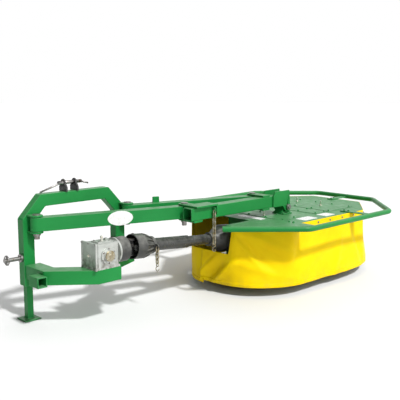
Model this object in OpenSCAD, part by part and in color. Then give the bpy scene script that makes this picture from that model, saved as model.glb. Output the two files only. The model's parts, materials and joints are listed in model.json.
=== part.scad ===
// Rear-mounted rotary drum mower with a swing-back arm, standing on its parking leg and drum saucers.
// X runs sideways from the hitch to the mower, Y forward to the tractor, Z up. Millimetres.

/* [Headstock] */
// Distance between the two mast posts, centre to centre
post_spacing = 745; // [725:5:765]
// Width of the mast tube, seen from behind
post_w = 80; // [72:1:84]
// Depth of the mast tube, front to back
post_d = 68; // [60:1:70]
// Height of the left post's lower end above the ground
foot_z = 235; // [200:5:250]
// Height of the mast's shoulder bend, at the tube's centre
shoulder_z = 670; // [660:1:690]
// Height of the mast's top bar, at the tube's centre
mast_top_z = 795; // [780:5:830]
// Distance of the top bend inboard of the post
mast_bend_in = 115; // [90:5:140]
// Height of the lower beam's underside
beam_z = 290; // [280:5:300]
// Height of the lower beam
beam_h = 92; // [80:1:100]
// Width of the lower beam, seen from above
beam_w = 110; // [100:1:120]
// How far the beam's bowed middle lies behind the posts
beam_bow = 423; // [410:1:440]
// Width of the square socket beside the beam
socket_w = 68; // [60:1:76]
// Length of the square socket
socket_l = 110; // [90:1:140]
// How far the socket's mouth lies behind the posts
socket_back = 300; // [285:1:310]
// Wall of the square socket and of the carrier's open end
tube_wall = 6; // [4:0.5:8]

/* [Hitch points] */
// Height of the lower hitch pins
lower_pin_z = 425; // [410:1:440]
// Radius of the lower hitch pins
lower_pin_r = 14; // [11:0.5:18]
// Free length of the lower hitch pins, past the collar
lower_pin_l = 110; // [90:1:130]
// Radius of the collar that the lower link rests on
collar_r = 27; // [22:1:32]
// Thickness of that collar
collar_t = 14; // [8:1:20]
// Radius of the holes for the top link's pin
top_hole_r = 13; // [10:0.5:16]
// Height of the top link's holes above the mast
top_hole_up = 60; // [50:1:80]
// Clear width between the top link's two lugs
top_gap = 76; // [60:1:86]
// Depth of those lugs, front to back
top_lug_d = 92; // [76:1:110]
// How far the lugs lie to the left of the mast's middle
top_off = 35; // [0:1:50]
// Thickness of the lugs and of the hinge plates
plate_t = 12; // [8:1:14]

/* [Parking leg] */
// Width of the square leg that slides in the left post
leg_w = 44; // [38:1:46]
// Play on each side of the leg in the post
leg_play = 0.4; // [0.2:0.1:1]
// Length of leg held inside the post at rest
leg_in = 150; // [120:5:170]
// How far the leg can be drawn up
leg_travel = 200; // [100:10:200]
// Width of the leg's foot plate
foot_w = 120; // [90:5:150]
// Thickness of the foot plate
foot_t = 10; // [6:1:16]

/* [Swing arms] */
// Length of the two parallel arms, pin to pin
arm_l = 1065; // [1045:1:1085]
// Angle of the arms behind the sideways line
arm_angle = 17; // [15:0.5:19]
// Width and height of the square arm tube
arm_w = 90; // [84:1:92]
// Height of the arm's centre line
arm_z = 654; // [650:1:660]
// Offset of the arm's pivot from the post, sideways
pivot_x = 30; // [20:1:40]
// Offset of the arm's pivot behind the post's centre
pivot_back = 85; // [84:1:95]
// Radius of the pivot pins
pivot_r = 17.5; // [14:0.5:20]
// Radius of the round ends of arms and brackets
eye_r = 42; // [40:1:45]
// Height of the lug on top of the main arm
arm_lug_h = 45; // [30:1:60]
// Width of that lug
arm_lug_w = 52; // [30:1:60]
// Distance from the arm's front pin to that lug
arm_lug_run = 198; // [150:1:300]

/* [Carrier] */
// Distance of the carrier beam behind the arms' rear pins
carrier_back = 105; // [100:1:115]
// How far the carrier's open end reaches past the left pin
carrier_over = 70; // [50:1:100]
// Distance from the left rear pin to the mower's tilt hinge
hinge_run = 1000; // [990:1:1010]
// Height of the tilt hinge above the deck
hinge_up = 61; // [58:1:66]
// Radius of the tilt hinge's bolt
hinge_r = 15; // [12:0.5:18]
// Distance from the left rear pin to the chain's lug
chain_run = 139; // [120:1:160]
// Thickness of a chain link's wire
chain_d = 8; // [6:0.5:9]
// Inner length of a chain link
chain_l = 30; // [26:1:36]

/* [Mower deck] */
// Half the skirt's length, along the cut
skirt_hx = 850; // [840:1:870]
// Half the skirt's width, front to back
skirt_hy = 520; // [505:1:530]
// Length that a corner takes off the skirt's long side
skirt_cx = 362; // [340:1:380]
// Length that a corner takes off the skirt's short side
skirt_cy = 265; // [250:1:280]
// Height of the skirt's lower edge
skirt_z = 75; // [72:1:90]
// Thickness of the skirt
skirt_t = 3; // [2:0.5:4]
// Height of the low part of the skirt below the drive shaft
notch_z = 320; // [300:1:325]
// Height of the deck's upper face
deck_z = 536; // [530:1:540]
// Thickness of the deck plate
deck_t = 6; // [4:0.5:8]
// Height of the bars that the skirt is bolted to
rim_h = 40; // [30:1:50]
// Thickness of those bars
rail_t = 5; // [4:0.5:8]
// Length that the front left corner takes off the deck's left side
front_cy = 340; // [330:1:345]
// How far ahead of the deck's middle the notch for the drive shaft reaches
notch_front = 225; // [222:1:240]
// Offset of the deck's middle from the tilt hinge, sideways
deck_x_off = 141; // [135:1:147]
// Offset of the deck's middle ahead of the carrier beam
deck_y_off = 151; // [145:1:160]

/* [Guard rail] */
// Half the guard's length
guard_hx = 1010; // [1000:1:1030]
// Half the guard's width
guard_hy = 735; // [720:1:760]
// Length that a corner takes off the guard's long side
guard_cx = 460; // [440:1:480]
// Length that a corner takes off the guard's short side
guard_cy = 430; // [410:1:450]
// Radius of the guard's tube
guard_r = 21; // [17:0.5:24]
// Radius of the guard's bends
guard_bend = 90; // [70:1:120]
// Distance of the left stays from the deck's middle
stay_left = 435; // [400:1:460]
// Distance of the right stays from the deck's middle
stay_right = 307; // [280:1:440]
// Length of a stay that lies on the deck
stay_in = 90; // [60:1:110]

/* [Drums] */
// Distance between the two drums
drum_spacing = 820; // [812:1:830]
// Radius of the drum's shell
drum_r = 160; // [140:1:180]
// Radius of the disc that carries the knives
disc_r = 320; // [310:1:330]
// Radius of the circle that the knife tips cut
knife_tip_r = 405; // [395:1:405]
// Width of a knife
knife_w = 50; // [40:1:60]
// Knives on each drum
knife_count = 3; // [2:1:4]
// Radius of the saucer that slides over the ground
saucer_r = 280; // [260:1:285]
// Radius of the drum's fixed spindle
spindle_r = 25; // [20:1:30]

/* [Drive] */
// Height of the gearbox's shafts
shaft_z = 475; // [470:1:480]
// Height of the mower's input shaft
input_z = 400; // [396:1:406]
// Radius of the splined input stub for the tractor's shaft
pto_r = 17.45; // [15:0.05:20]
// Length of that stub past the gearbox
pto_l = 85; // [70:1:100]
// Width of the gearbox along the shaft
gear_w = 185; // [175:1:190]
// Depth of the gearbox, front to back
gear_d = 140; // [130:1:150]
// Height of the gearbox
gear_h = 165; // [155:1:180]
// Distance from the gearbox to the shaft's first joint
joint_run = 155; // [150:1:160]
// Distance from the shaft's second joint to the deck's middle
input_run = 689.5; // [680:0.5:700]
// Radius of the shaft's outer tube
outer_r = 45; // [43:1:47]
// Radius of the shaft's inner tube
inner_r = 38; // [34:1:38]
// Radius of the bell's mouth, at the mower
cone_r = 103; // [96:1:104]
// Radius of the ribbed cone's mouth, at the gearbox
left_cone_r = 86; // [82:1:90]
// Ribs round that cone
rib_count = 14; // [8:2:18]

/* [Hidden] */
// Play of a pin in its running hole
pin_play = 0.06;
// Play at the linkage pivot that stays open
open_play = 1;
// Gap between a pivot's plates and the eye between them
eye_gap = 3;
// Gap between the skirt and the bars that it is bolted to
skirt_gap = 0.3;
// Distance of a bar under the deck's edge from the deck's corner
edge_gap = 6;
$fn = 48;

// Places along the machine, before it is moved to the middle of its own box
pin_l = [pivot_x, -pivot_back];
arm_dir = [cos(arm_angle), -sin(arm_angle)];
pin_a = pin_l + arm_l * arm_dir;
pin_b = pin_a + [post_spacing, 0];
arm_lo = arm_z - arm_w / 2;
arm_hi = arm_z + arm_w / 2;
carrier_y = pin_a[1] - carrier_back;
hinge_x = pin_a[0] + hinge_run;
hinge_z = deck_z + hinge_up;
pin_head = 7;
pin_ring = 14;
pin_tail = 40;
deck_pin_tail = 20;
// Chain lugs: hole, thickness, metal round the hole and distance of the hole from the face behind it
lug_hole_r = 9;
lug_t = 8;
lug_rim = 8;
lug_out = 18;
lug_z = arm_lo + 63;
// Plate over the carrier's open end, and the rib that closes it
rib_x = pin_a[0] + 160;
rib_t = 10;
rib_out = 26;
carrier_end = hinge_x - 110;
deck_x = hinge_x + deck_x_off;
deck_y = carrier_y + deck_y_off;
beam_top = beam_z + beam_h;
gear_x = 215;
// Bends of the lower beam
beam_in = 20;
bow_mid = 315;
bow_l = 126;
knee_right = 470;
knee_back = 230;
knee_end = 120;
gear_back = -beam_bow - beam_w / 2;
shaft_y = gear_back + gear_d / 2;
joint_o = gear_x + gear_w + joint_run;
joint_i = deck_x - input_run;
shaft_l = norm([joint_i - joint_o, shaft_z - input_z]);
shaft_slope = atan2(shaft_z - input_z, joint_i - joint_o);
mast_top = mast_top_z + post_w / 2;
x_lo = -post_w / 2 - collar_t - lower_pin_l;
x_hi = deck_x + guard_hx + guard_r;
// Gearbox: edge cuts, foot, covers, flange, neck, shield and boss of the tractor's shaft
gear_edge = 16;
gear_foot = 14;
cover_t = 12;
cover_rim = 10;
shield_r = 84;
shield_l = 75;
flange_t = 12;
neck_l = 28;
pto_boss = 24;
// Universal joints: cross, its pins and the forks
cross_r = 11;
cross_l = 108;
cross_w = 34;
fork_l = 75;
fork_w = 40;
fork_t = 12;
fork_reach = 56;
// Drive shaft tubes, from the first joint or back from the second
bore_start = fork_l + 10;
tube_play = 0.5;
slide_travel = 190;
slide_rest = 10;
tube_end = 440;
fork_end = 100;
fork_gap = 30;
// Guard cones, from the first joint or back from the second
cone_mouth = -6;
cone_body = 70;
cone_neck = 145;
collar_start = 150;
cone_end = 172;
collar_cone_r = outer_r + 16;
bell_start = -222;
bell_neck = -180;
bell_body = -100;
bell_mouth = -10;
stub_gap = 5;
// Covers on the deck: their ends along the cut, distance from the deck's long edges and thickness
cover_spans = [[-400, -215], [25, 190], [210, 560]];
cover_in = 150;
sheet_t = 3;
// Case of the drive to the drums
case_w = 170;
case_over = 100;
case_boss = 40;
// Hinge of the deck: plates' reach along and above the carrier, and play of the bracket between them
clevis_l = 182;
clevis_up = 34;
hinge_play = 6;
base_l = 112;
base_w = 120;
base_t = 8;
case_h = 190;
case_bottom = deck_z - deck_t - case_h;
case_left = joint_i + 160;
disc_lo = 51;
disc_t = 12;
drum_lo = disc_lo + disc_t;
drum_hi = case_bottom - 10;

green = [0.03, 0.36, 0.16];
dark_green = [0.02, 0.24, 0.11];
yellow = [0.98, 0.84, 0.02];
steel = [0.62, 0.63, 0.64];
cast_grey = [0.72, 0.73, 0.74];
black = [0.06, 0.06, 0.06];

// Outline helpers
function unit(v) = v / norm(v);
function left_of(v) = [-v[1], v[0]];
function mitre(p, i) =
    let (n = len(p))
    let (after = left_of(unit(p[min(i + 1, n - 1)] - p[min(i, n - 2)])))
    let (before = left_of(unit(p[max(i, 1)] - p[max(i - 1, 0)])))
    (after + before) / (1 + after * before);
function ribbon(p, w) = concat(
    [for (i = [0 : len(p) - 1]) p[i] + mitre(p, i) * w / 2],
    [for (i = [len(p) - 1 : -1 : 0]) p[i] - mitre(p, i) * w / 2]);
function octagon(hx, hy, cx, cy) = [
    [-hx, -hy + cy], [-hx + cx, -hy], [hx - cx, -hy], [hx, -hy + cy],
    [hx, hy - cy], [hx - cx, hy], [-hx + cx, hy], [-hx, hy - cy]];
function turn(a, b) = atan2(a[0] * b[1] - a[1] * b[0], a * b);

// The machine's frame: ground level at the middle of its box
module placed() translate([-(x_lo + x_hi) / 2, -deck_y, 0]) children();
module on_deck() translate([deck_x, deck_y, 0]) children();
module along_x() rotate([0, 90, 0]) children();
module along_y() rotate([-90, 0, 0]) children();
module extrude_y(w) translate([0, w / 2, 0]) rotate([90, 0, 0]) linear_extrude(w) children();
module bar(from, size) translate(from) cube(size);

// Points along a flat path whose corners are rounded to a bend radius
function bend_cut(p, i, bend) = bend * tan(abs(turn(p[i] - p[i - 1], p[i + 1] - p[i])) / 2);
function bend_points(p, i, bend, steps) =
    let (d = unit(p[i] - p[i - 1]), angle = turn(d, p[i + 1] - p[i]))
    let (start = p[i] - d * bend_cut(p, i, bend), centre = start + left_of(d) * bend)
    let (base = atan2(d[1], d[0]) - 90)
    [for (k = [0 : steps]) centre + bend * [cos(base + angle * k / steps), sin(base + angle * k / steps)]];
function bent_path(p, bend, steps) = concat([p[0]],
    [for (i = [1 : len(p) - 2]) each bend_points(p, i, bend, steps)], [p[len(p) - 1]]);

// A round tube swept along a flat path
module bent_tube(p, r, sides) {
    rings = len(p);
    ring = function(i, k) (i % rings) * sides + k % sides;
    polyhedron(
        points = [for (i = [0 : rings - 1], k = [0 : sides - 1])
            let (side = p[i] + mitre(p, i) * r * cos(360 * k / sides))
            [side[0], side[1], r * sin(360 * k / sides)]],
        faces = concat(
            [[for (k = [0 : sides - 1]) k]],
            [[for (k = [sides - 1 : -1 : 0]) (rings - 1) * sides + k]],
            [for (i = [0 : rings - 2], k = [0 : sides - 1])
                [ring(i, k), ring(i + 1, k), ring(i + 1, k + 1), ring(i, k + 1)]]));
}

// A plate with a round eye, from a straight edge at y = base back to the pin
module eye_plate(pin, base, z, t, r, hole) difference() {
    translate([0, 0, z]) union() {
        translate(pin) cylinder(r = r, h = t);
        bar([pin[0] - r, min(pin[1], base), 0], [2 * r, abs(base - pin[1]), t]);
    }
    translate([pin[0], pin[1], z - 1]) cylinder(r = hole, h = t + 2);
}

// A headed vertical pin with its retaining collar below
module headed_pin(pin, tail) translate(pin) {
    lo = arm_lo - eye_gap - plate_t;
    hi = arm_hi + eye_gap + plate_t;
    translate([0, 0, lo - tail]) cylinder(r = pivot_r, h = hi - lo + tail);
    translate([0, 0, hi]) cylinder(r = pivot_r + 8, h = pin_head);
    translate([0, 0, lo - pin_ring]) cylinder(r = pivot_r + 7, h = pin_ring);
}

// A square swing arm between two vertical pins
module swing_arm(pin, near_play, far_play) translate([pin[0], pin[1], arm_lo]) rotate([0, 0, -arm_angle])
    difference() {
        union() {
            cylinder(r = eye_r, h = arm_w);
            translate([arm_l, 0, 0]) cylinder(r = eye_r, h = arm_w);
            bar([0, -eye_r, 0], [arm_l, 2 * eye_r, arm_w]);
        }
        translate([0, 0, -1]) cylinder(r = pivot_r + near_play, h = arm_w + 2);
        translate([arm_l, 0, -1]) cylinder(r = pivot_r + far_play, h = arm_w + 2);
    }

// One chain link, long in Z
link_bend = chain_d * 0.75;
module chain_link() {
    half = chain_l / 2 - link_bend;
    translate([0, chain_d / 2, 0]) rotate([90, 0, 0]) linear_extrude(chain_d) difference() {
        union() {
            for (s = [-1, 1]) translate([0, s * half]) circle(r = link_bend + chain_d);
            square([2 * (link_bend + chain_d), 2 * half], center = true);
        }
        for (s = [-1, 1]) translate([0, s * half]) circle(r = link_bend);
        square([2 * link_bend, 2 * half], center = true);
    }
}
chain_pitch = chain_l - chain_d * (1.5 - sqrt(5) / 2) - skirt_gap;
module hanging_chain(count) for (i = [0 : count - 1])
    translate([0, 0, -i * chain_pitch]) rotate([0, 0, 90 * (i % 2)]) chain_link();

// A lug that stands out from a face towards the rear, and a chain that hangs in its hole
module lug() difference() {
    union() {
        bar([-lug_t / 2, -lug_out, -lug_hole_r - lug_rim], [lug_t, lug_out, 2 * (lug_hole_r + lug_rim)]);
        translate([-lug_t / 2, -lug_out, 0]) along_x() cylinder(r = lug_hole_r + lug_rim, h = lug_t);
    }
    translate([-lug_t, -lug_out, 0]) along_x() cylinder(r = lug_hole_r, h = 2 * lug_t);
}
// The first link lies over the metal below the hole, which is lug_t thick
link_rise = link_bend - sqrt(pow(link_bend, 2) - pow(lug_t / 2, 2)) + skirt_gap
    - sqrt(pow(lug_hole_r, 2) - pow(chain_d / 2, 2));
module lug_chain(count) translate([0, -lug_out, link_rise - chain_l / 2]) hanging_chain(count);

// Headstock
module mast_frame() color(green) placed() difference() {
    extrude_y(post_d) polygon(ribbon([[0, foot_z], [0, shoulder_z], [mast_bend_in, mast_top_z],
        [post_spacing - mast_bend_in, mast_top_z], [post_spacing, shoulder_z], [post_spacing, beam_z]],
        post_w));
    translate([-leg_w / 2 - leg_play, -leg_w / 2 - leg_play, foot_z - 1])
        cube([leg_w + 2 * leg_play, leg_w + 2 * leg_play, leg_in + leg_travel + 11]);
}
module lower_beam() color(green) placed() translate([0, 0, beam_z]) linear_extrude(beam_h)
    polygon(ribbon([[beam_in, -post_d / 2], [beam_in, -knee_back], [bow_mid - bow_l / 2, -beam_bow],
        [bow_mid + bow_l / 2, -beam_bow], [knee_right, -knee_back], [post_spacing - beam_in, -knee_end],
        [post_spacing - beam_in, -post_d / 2]], beam_w));
module socket_tube() color(dark_green) placed()
    translate([beam_in - beam_w / 2 - socket_w, -socket_back, beam_z]) difference() {
        cube([socket_w, socket_l, socket_w]);
        bar([tube_wall, -1, tube_wall], [socket_w - 2 * tube_wall, socket_l - 5, socket_w - 2 * tube_wall]);
    }
module top_link_lugs() color(dark_green) placed() for (s = [-1, 1])
    translate([post_spacing / 2 - top_off + s * (top_gap + plate_t) / 2 - plate_t / 2, 0, mast_top])
    difference() {
        rotate([90, 0, 90]) linear_extrude(plate_t) {
            translate([0, top_hole_up]) circle(r = top_hole_r + plate_t);
            polygon([[-top_lug_d / 2, 0], [top_lug_d / 2, 0], [top_lug_d / 2, top_hole_up / 2],
                [top_hole_r + plate_t, top_hole_up], [-top_hole_r - plate_t, top_hole_up],
                [-top_lug_d / 2, top_hole_up / 2]]);
        }
        translate([-1, 0, top_hole_up]) along_x() cylinder(r = top_hole_r, h = plate_t + 2);
    }
module lower_hitch_pins() color(steel) placed() for (s = [0, 1])
    translate([s * post_spacing, 0, lower_pin_z]) mirror([1 - s, 0, 0]) translate([post_w / 2, 0, 0])
        along_x() {
            cylinder(r = collar_r, h = collar_t);
            cylinder(r = lower_pin_r, h = collar_t + lower_pin_l);
        }
module pivot_brackets() color(dark_green) placed() for (s = [0, 1])
    for (z = [arm_lo - eye_gap - plate_t, arm_hi + eye_gap])
        eye_plate(pin_l + [s * post_spacing, 0], -post_d / 2, z, plate_t, eye_r, pivot_r + pin_play);
module pivot_pins() color(steel) placed() for (s = [0, 1])
    headed_pin(pin_l + [s * post_spacing, 0], pin_tail);

// Gearbox on the beam's middle
module gearbox_housing() color(cast_grey) placed() {
    translate([gear_x + gear_w / 2, shaft_y, beam_top]) {
        linear_extrude(gear_h) polygon(octagon(gear_w / 2, gear_d / 2, gear_edge, gear_edge));
        linear_extrude(gear_foot) square([gear_w, gear_d], center = true);
        translate([0, 0, gear_h]) linear_extrude(8) square([gear_w * 0.6, gear_d * 0.55], center = true);
        translate([gear_w * 0.18, 0, gear_h + 8]) cylinder(r = 9, h = 14);
    }
    translate([gear_x + gear_w, shaft_y, shaft_z]) along_x() {
        cylinder(r = shield_r, h = flange_t);
        cylinder(r = 48, h = neck_l);
    }
    translate([gear_x + gear_w / 2, gear_back, shaft_z - 8]) rotate([90, 0, 0]) {
        cylinder(r = 56, h = 10);
        cylinder(r = 40, h = 18);
    }
    translate([gear_x + gear_w / 2, gear_back + gear_d, shaft_z]) along_y() cylinder(r = 45, h = pto_boss);
}
// Flat cover on the gearbox's free end, with a raised rim
module gearbox_end_plate() color(cast_grey) placed() translate([gear_x, shaft_y, beam_top]) {
    difference() {
        bar([-cover_t, -gear_d / 2 - cover_rim, 0], [cover_t, gear_d + 2 * cover_rim, gear_h + cover_rim]);
        bar([-cover_t - 1, -gear_d / 2, cover_rim], [cover_rim / 2 + 1, gear_d, gear_h - cover_rim]);
    }
    translate([-cover_t, 0, gear_h / 2]) along_x() cylinder(r = 15, h = cover_t);
}
// Fixed shield round the output yoke
module shaft_shield() color(black) placed()
    translate([gear_x + gear_w + flange_t, shaft_y, shaft_z]) along_x() difference() {
        cylinder(r = shield_r, h = shield_l);
        translate([0, 0, -1]) cylinder(r = shield_r - 5, h = shield_l + 2);
    }
module gearbox_output_yoke() color(steel) placed() translate([joint_o, shaft_y, shaft_z]) {
    translate([neck_l - joint_run, 0, 0]) along_x() cylinder(r = 22, h = joint_run - neck_l - fork_l);
    difference() {
        union() {
            bar([-fork_l, -fork_w / 2 - 5, -fork_reach], [15, fork_w + 10, 2 * fork_reach]);
            for (z = [-fork_reach, fork_reach - fork_t]) {
                bar([15 - fork_l, -fork_w / 2, z], [fork_l - 15, fork_w, fork_t]);
                translate([0, 0, z]) cylinder(r = fork_w / 2, h = fork_t);
            }
        }
        cylinder(r = cross_r + pin_play, h = 4 * fork_reach, center = true);
    }
}
module pto_input_stub() color(steel) placed()
    translate([gear_x + gear_w / 2, gear_back + gear_d + pto_boss, shaft_z]) along_y()
        cylinder(r = pto_r, h = pto_l);

// Parking leg
module parking_leg() color(dark_green) placed() {
    bar([-leg_w / 2, -leg_w / 2, foot_t], [leg_w, leg_w, foot_z + leg_in - foot_t]);
    bar([-foot_w / 2, -foot_w / 2, 0], [foot_w, foot_w, foot_t]);
}

// Swing arms
module main_arm() color(green) placed() {
    swing_arm(pin_l + [post_spacing, 0], pin_play, pin_play);
    translate([pin_l[0] + post_spacing, pin_l[1], arm_hi]) rotate([0, 0, -arm_angle])
        bar([arm_lug_run, -plate_t / 2, 0], [arm_lug_w, plate_t, arm_lug_h]);
}
module stay_arm() color(green) placed() swing_arm(pin_l, pin_play, open_play);

// Carrier
module carrier_beam() color(green) placed() difference() {
    bar([pin_a[0] - carrier_over, carrier_y - arm_w / 2, arm_lo],
        [carrier_end - pin_a[0] + carrier_over, arm_w, arm_w]);
    bar([pin_a[0] - carrier_over - 1, carrier_y - arm_w / 2 + tube_wall, arm_lo + tube_wall],
        [150, arm_w - 2 * tube_wall, arm_w - 2 * tube_wall]);
}
module carrier_clevises() color(dark_green) placed() for (pin = [pin_a, pin_b]) {
    for (z = [arm_lo - eye_gap - plate_t, arm_hi + eye_gap])
        eye_plate(pin, carrier_y - arm_w / 2, z, plate_t, eye_r, pivot_r + pin_play);
    for (z = [arm_lo - eye_gap, arm_hi])
        bar([pin[0] - eye_r, carrier_y - arm_w / 2, z], [2 * eye_r, arm_w, eye_gap]);
    if (pin == pin_a) end_cover();
}
// Plate over the carrier's open end with a rib down its rear face
module end_cover() translate([pin_a[0] - eye_r, carrier_y - arm_w / 2, 0]) {
    run = rib_x - pin_a[0] + eye_r;
    bar([0, -rib_out, arm_hi + eye_gap], [run + rib_t, arm_w + rib_out, plate_t]);
    bar([0, 0, arm_hi], [run + rib_t, arm_w, eye_gap]);
    bar([run, -rib_out, arm_lo + rib_out], [rib_t, rib_out, arm_w + eye_gap - rib_out]);
}
module carrier_pins() color(steel) placed() {
    headed_pin(pin_a, pin_tail);
    headed_pin(pin_b, deck_pin_tail);
}
module hinge_clevis() color(dark_green) placed() for (s = [-1, 1])
    translate([0, carrier_y + s * (arm_w + plate_t) / 2, 0]) difference() {
        extrude_y(plate_t) {
            polygon([[hinge_x - clevis_l, arm_lo], [hinge_x - 60, arm_lo], [hinge_x - 30, hinge_z - 26],
                [hinge_x + 32, hinge_z + 24], [hinge_x + 20, arm_hi + clevis_up],
                [hinge_x - clevis_l + 24, arm_hi + clevis_up], [hinge_x - clevis_l, arm_hi]]);
            translate([hinge_x, hinge_z]) circle(r = 40);
        }
        translate([hinge_x, -plate_t, hinge_z]) along_y() cylinder(r = hinge_r + pin_play, h = 2 * plate_t);
    }
module hinge_bolt() color(steel) placed() translate([hinge_x, carrier_y, hinge_z]) along_y() {
    cylinder(r = hinge_r, h = arm_w + 2 * plate_t + 50, center = true);
    for (s = [-1, 1]) translate([0, 0, s * (arm_w / 2 + plate_t + 7)])
        cylinder(r = hinge_r + 9, h = 14, center = true);
}
module chain_lug() color(dark_green) placed() at_carrier_lug() lug();
module carrier_chain() color(steel) placed() at_carrier_lug() lug_chain(9);
module at_carrier_lug() translate([pin_a[0] + chain_run, carrier_y - arm_w / 2, lug_z]) children();

// Mower deck
module deck_plate() color(green) placed() on_deck() difference() {
    translate([0, 0, deck_z - deck_t]) linear_extrude(deck_t)
        polygon(skirt_path);
    notch(shaft_y - deck_y - cone_r - 20, deck_z - deck_t - 1);
}
// Flat bars under the deck's edge that the skirt is bolted to
module skirt_rail() color(dark_green) placed() on_deck() difference() {
    for (i = [0 : 7])
        edge_bar(skirt_path[i], skirt_path[(i + 1) % 8], edge_gap, rail_t, 0, deck_z - deck_t - rim_h, rim_h);
    notch(shaft_y - deck_y - cone_r - 20, deck_z - deck_t - rim_h - 1);
}
// Room in the deck and the skirt for the drive shaft, which yaws as the arms swing back
module notch(back, z)
    bar([-2 * skirt_hx, back, z], [2 * skirt_hx - input_run + 110, notch_front - back, deck_z]);
module deck_covers() color(green) placed() on_deck() for (span = cover_spans)
    bar([span[0], -skirt_hy + cover_in, deck_z], [span[1] - span[0], 2 * (skirt_hy - cover_in), sheet_t]);
module hinge_bracket() color(dark_green) placed() translate([hinge_x, carrier_y, 0]) difference() {
    union() {
        bar([-base_l / 2, -base_w / 2, deck_z], [base_l, base_w, base_t]);
        extrude_y(arm_w - 2 * hinge_play) {
            translate([0, hinge_z]) circle(r = 34);
            polygon([[-base_l / 2, deck_z + base_t], [base_l / 2, deck_z + base_t],
                [34, hinge_z], [-34, hinge_z]]);
        }
    }
    translate([0, -arm_w, hinge_z]) along_y() cylinder(r = hinge_r + pin_play, h = 2 * arm_w);
}
guard_path = octagon(guard_hx, guard_hy, guard_cx, guard_cy);
guard_z = deck_z + 8;
stay_w = 60;
wing_end = 40;
wing_right = 410;
module guard_rail() color(green) placed() on_deck() translate([0, 0, guard_z])
    bent_tube(bent_path([for (i = [0 : 6]) guard_path[i]], guard_bend, 5), guard_r, 16);

// A flat stay from the deck's edge out to the guard's tube
module stay(from, to) {
    d = to - from;
    translate([from[0], from[1], deck_z]) rotate([0, 0, atan2(d[1], d[0])])
        bar([0, -stay_w / 2, 0], [norm(d) - guard_r - skirt_gap, stay_w, guard_z - deck_z]);
}
module guard_brackets() color(dark_green) placed() on_deck() {
    for (x = [-stay_left, stay_right], s = [-1, 1])
        stay([x, s * (skirt_hy - stay_in)], [x, s * guard_hy]);
    stay([skirt_hx - stay_in, 0], [guard_hx, 0]);
    translate([0, 0, deck_z]) linear_extrude(guard_z - deck_z) polygon(wing_outline());
}
// Plate that fills the rear left corner between the deck and the guard
function wing_outline() =
    let (d = unit(guard_path[1] - guard_path[0]), inset = left_of(d) * (guard_r + skirt_gap))
    [[-skirt_hx + 30, -skirt_hy + skirt_cy + 20], guard_path[0] + d * wing_end + inset,
        guard_path[1] - d * guard_bend / 2 + inset,
        [guard_path[1][0] + guard_bend / 2, -guard_hy + guard_r + skirt_gap],
        [-wing_right, -guard_hy + guard_r + skirt_gap], [-wing_right, -skirt_hy + cover_in],
        [-wing_right - 30, -skirt_hy + 250]];

// A flat bar along one side of the deck, from its edge inwards, or outwards where out is more than 0
module edge_bar(a, b, gap, t, out, z, h) {
    d = b - a;
    translate([a[0], a[1], 0]) rotate([0, 0, atan2(d[1], d[0])])
        bar([gap, -out, z], [norm(d) - 2 * gap, t, h]);
}
skirt_path = [each [for (i = [0 : 6]) octagon(skirt_hx, skirt_hy, skirt_cx, skirt_cy)[i]],
    [-skirt_hx, skirt_hy - front_cy]];
module skirt() color(yellow) placed() on_deck() difference() {
    for (i = [0 : 7])
        edge_bar(skirt_path[i], skirt_path[(i + 1) % 8], 0, skirt_t, skirt_gap + skirt_t, skirt_z,
            deck_z - skirt_z);
    notch(-skirt_hy + skirt_cy, notch_z);
}
module gear_case() color(dark_green) placed() {
    bar([case_left, deck_y - case_w / 2, case_bottom],
        [deck_x + drum_spacing / 2 + case_over - case_left, case_w, case_h]);
    translate([case_left - case_boss, shaft_y, input_z]) along_x() cylinder(r = 45, h = case_boss);
}
module mower_input_stub() color(steel) placed()
    translate([joint_i + stub_gap, shaft_y, input_z]) along_x()
        cylinder(r = pto_r, h = case_left - case_boss - stub_gap - joint_i);

// Drums: saucer and fixed spindle, turning shell, knife disc and knives
module at_drum(side) on_deck() translate([side * drum_spacing / 2, 0, 0]) children();
module saucer(side) color(black) placed() at_drum(side) {
    rotate_extrude() polygon([[0, 0], [saucer_r - 90, 0], [saucer_r, 32], [saucer_r, 38],
        [saucer_r - 92, 8], [spindle_r + 20, 8], [spindle_r, 44], [0, 44]]);
    cylinder(r = spindle_r, h = case_bottom);
}
module drum(side) color(dark_green) placed() at_drum(side) rotate_extrude() polygon([
    [spindle_r + pin_play, drum_lo], [spindle_r + 30, drum_lo], [spindle_r + 30, drum_hi - 20],
    [drum_r - 8, drum_hi - 20], [drum_r - 8, drum_lo + 36], [drum_r - 8, drum_lo], [drum_r + 25, drum_lo],
    [drum_r + 25, drum_lo + 12], [drum_r, drum_lo + 40], [drum_r, drum_hi], [spindle_r + pin_play, drum_hi]]);
module disc(side) color(black) placed() at_drum(side) translate([0, 0, disc_lo]) difference() {
    cylinder(r = disc_r, h = disc_t);
    translate([0, 0, -1]) cylinder(r = spindle_r + 5, h = disc_t + 2);
}
module knives(side) color(steel) placed() at_drum(side) for (i = [0 : knife_count - 1])
    rotate([0, 0, (i + (side + 1) / 4) * 360 / knife_count])
        bar([disc_r - 35, -knife_w / 2, disc_lo - 4], [knife_tip_r - disc_r + 35, knife_w, 4]);
module left_saucer() saucer(-1);
module right_saucer() saucer(1);
module left_drum() drum(-1);
module right_drum() drum(1);
module left_disc() disc(-1);
module right_disc() disc(1);
module left_knives() knives(-1);
module right_knives() knives(1);

// Drive shaft, which slopes down from the gearbox to the mower
module at_first_joint() translate([joint_o, shaft_y, shaft_z]) children();
module at_joint() at_first_joint() rotate([0, shaft_slope, 0]) children();
module shaft_cross() color(steel) placed() at_first_joint() {
    cylinder(r = cross_r, h = cross_l, center = true);
    along_y() cylinder(r = cross_r, h = cross_l, center = true);
    cube(cross_w, center = true);
}
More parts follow.
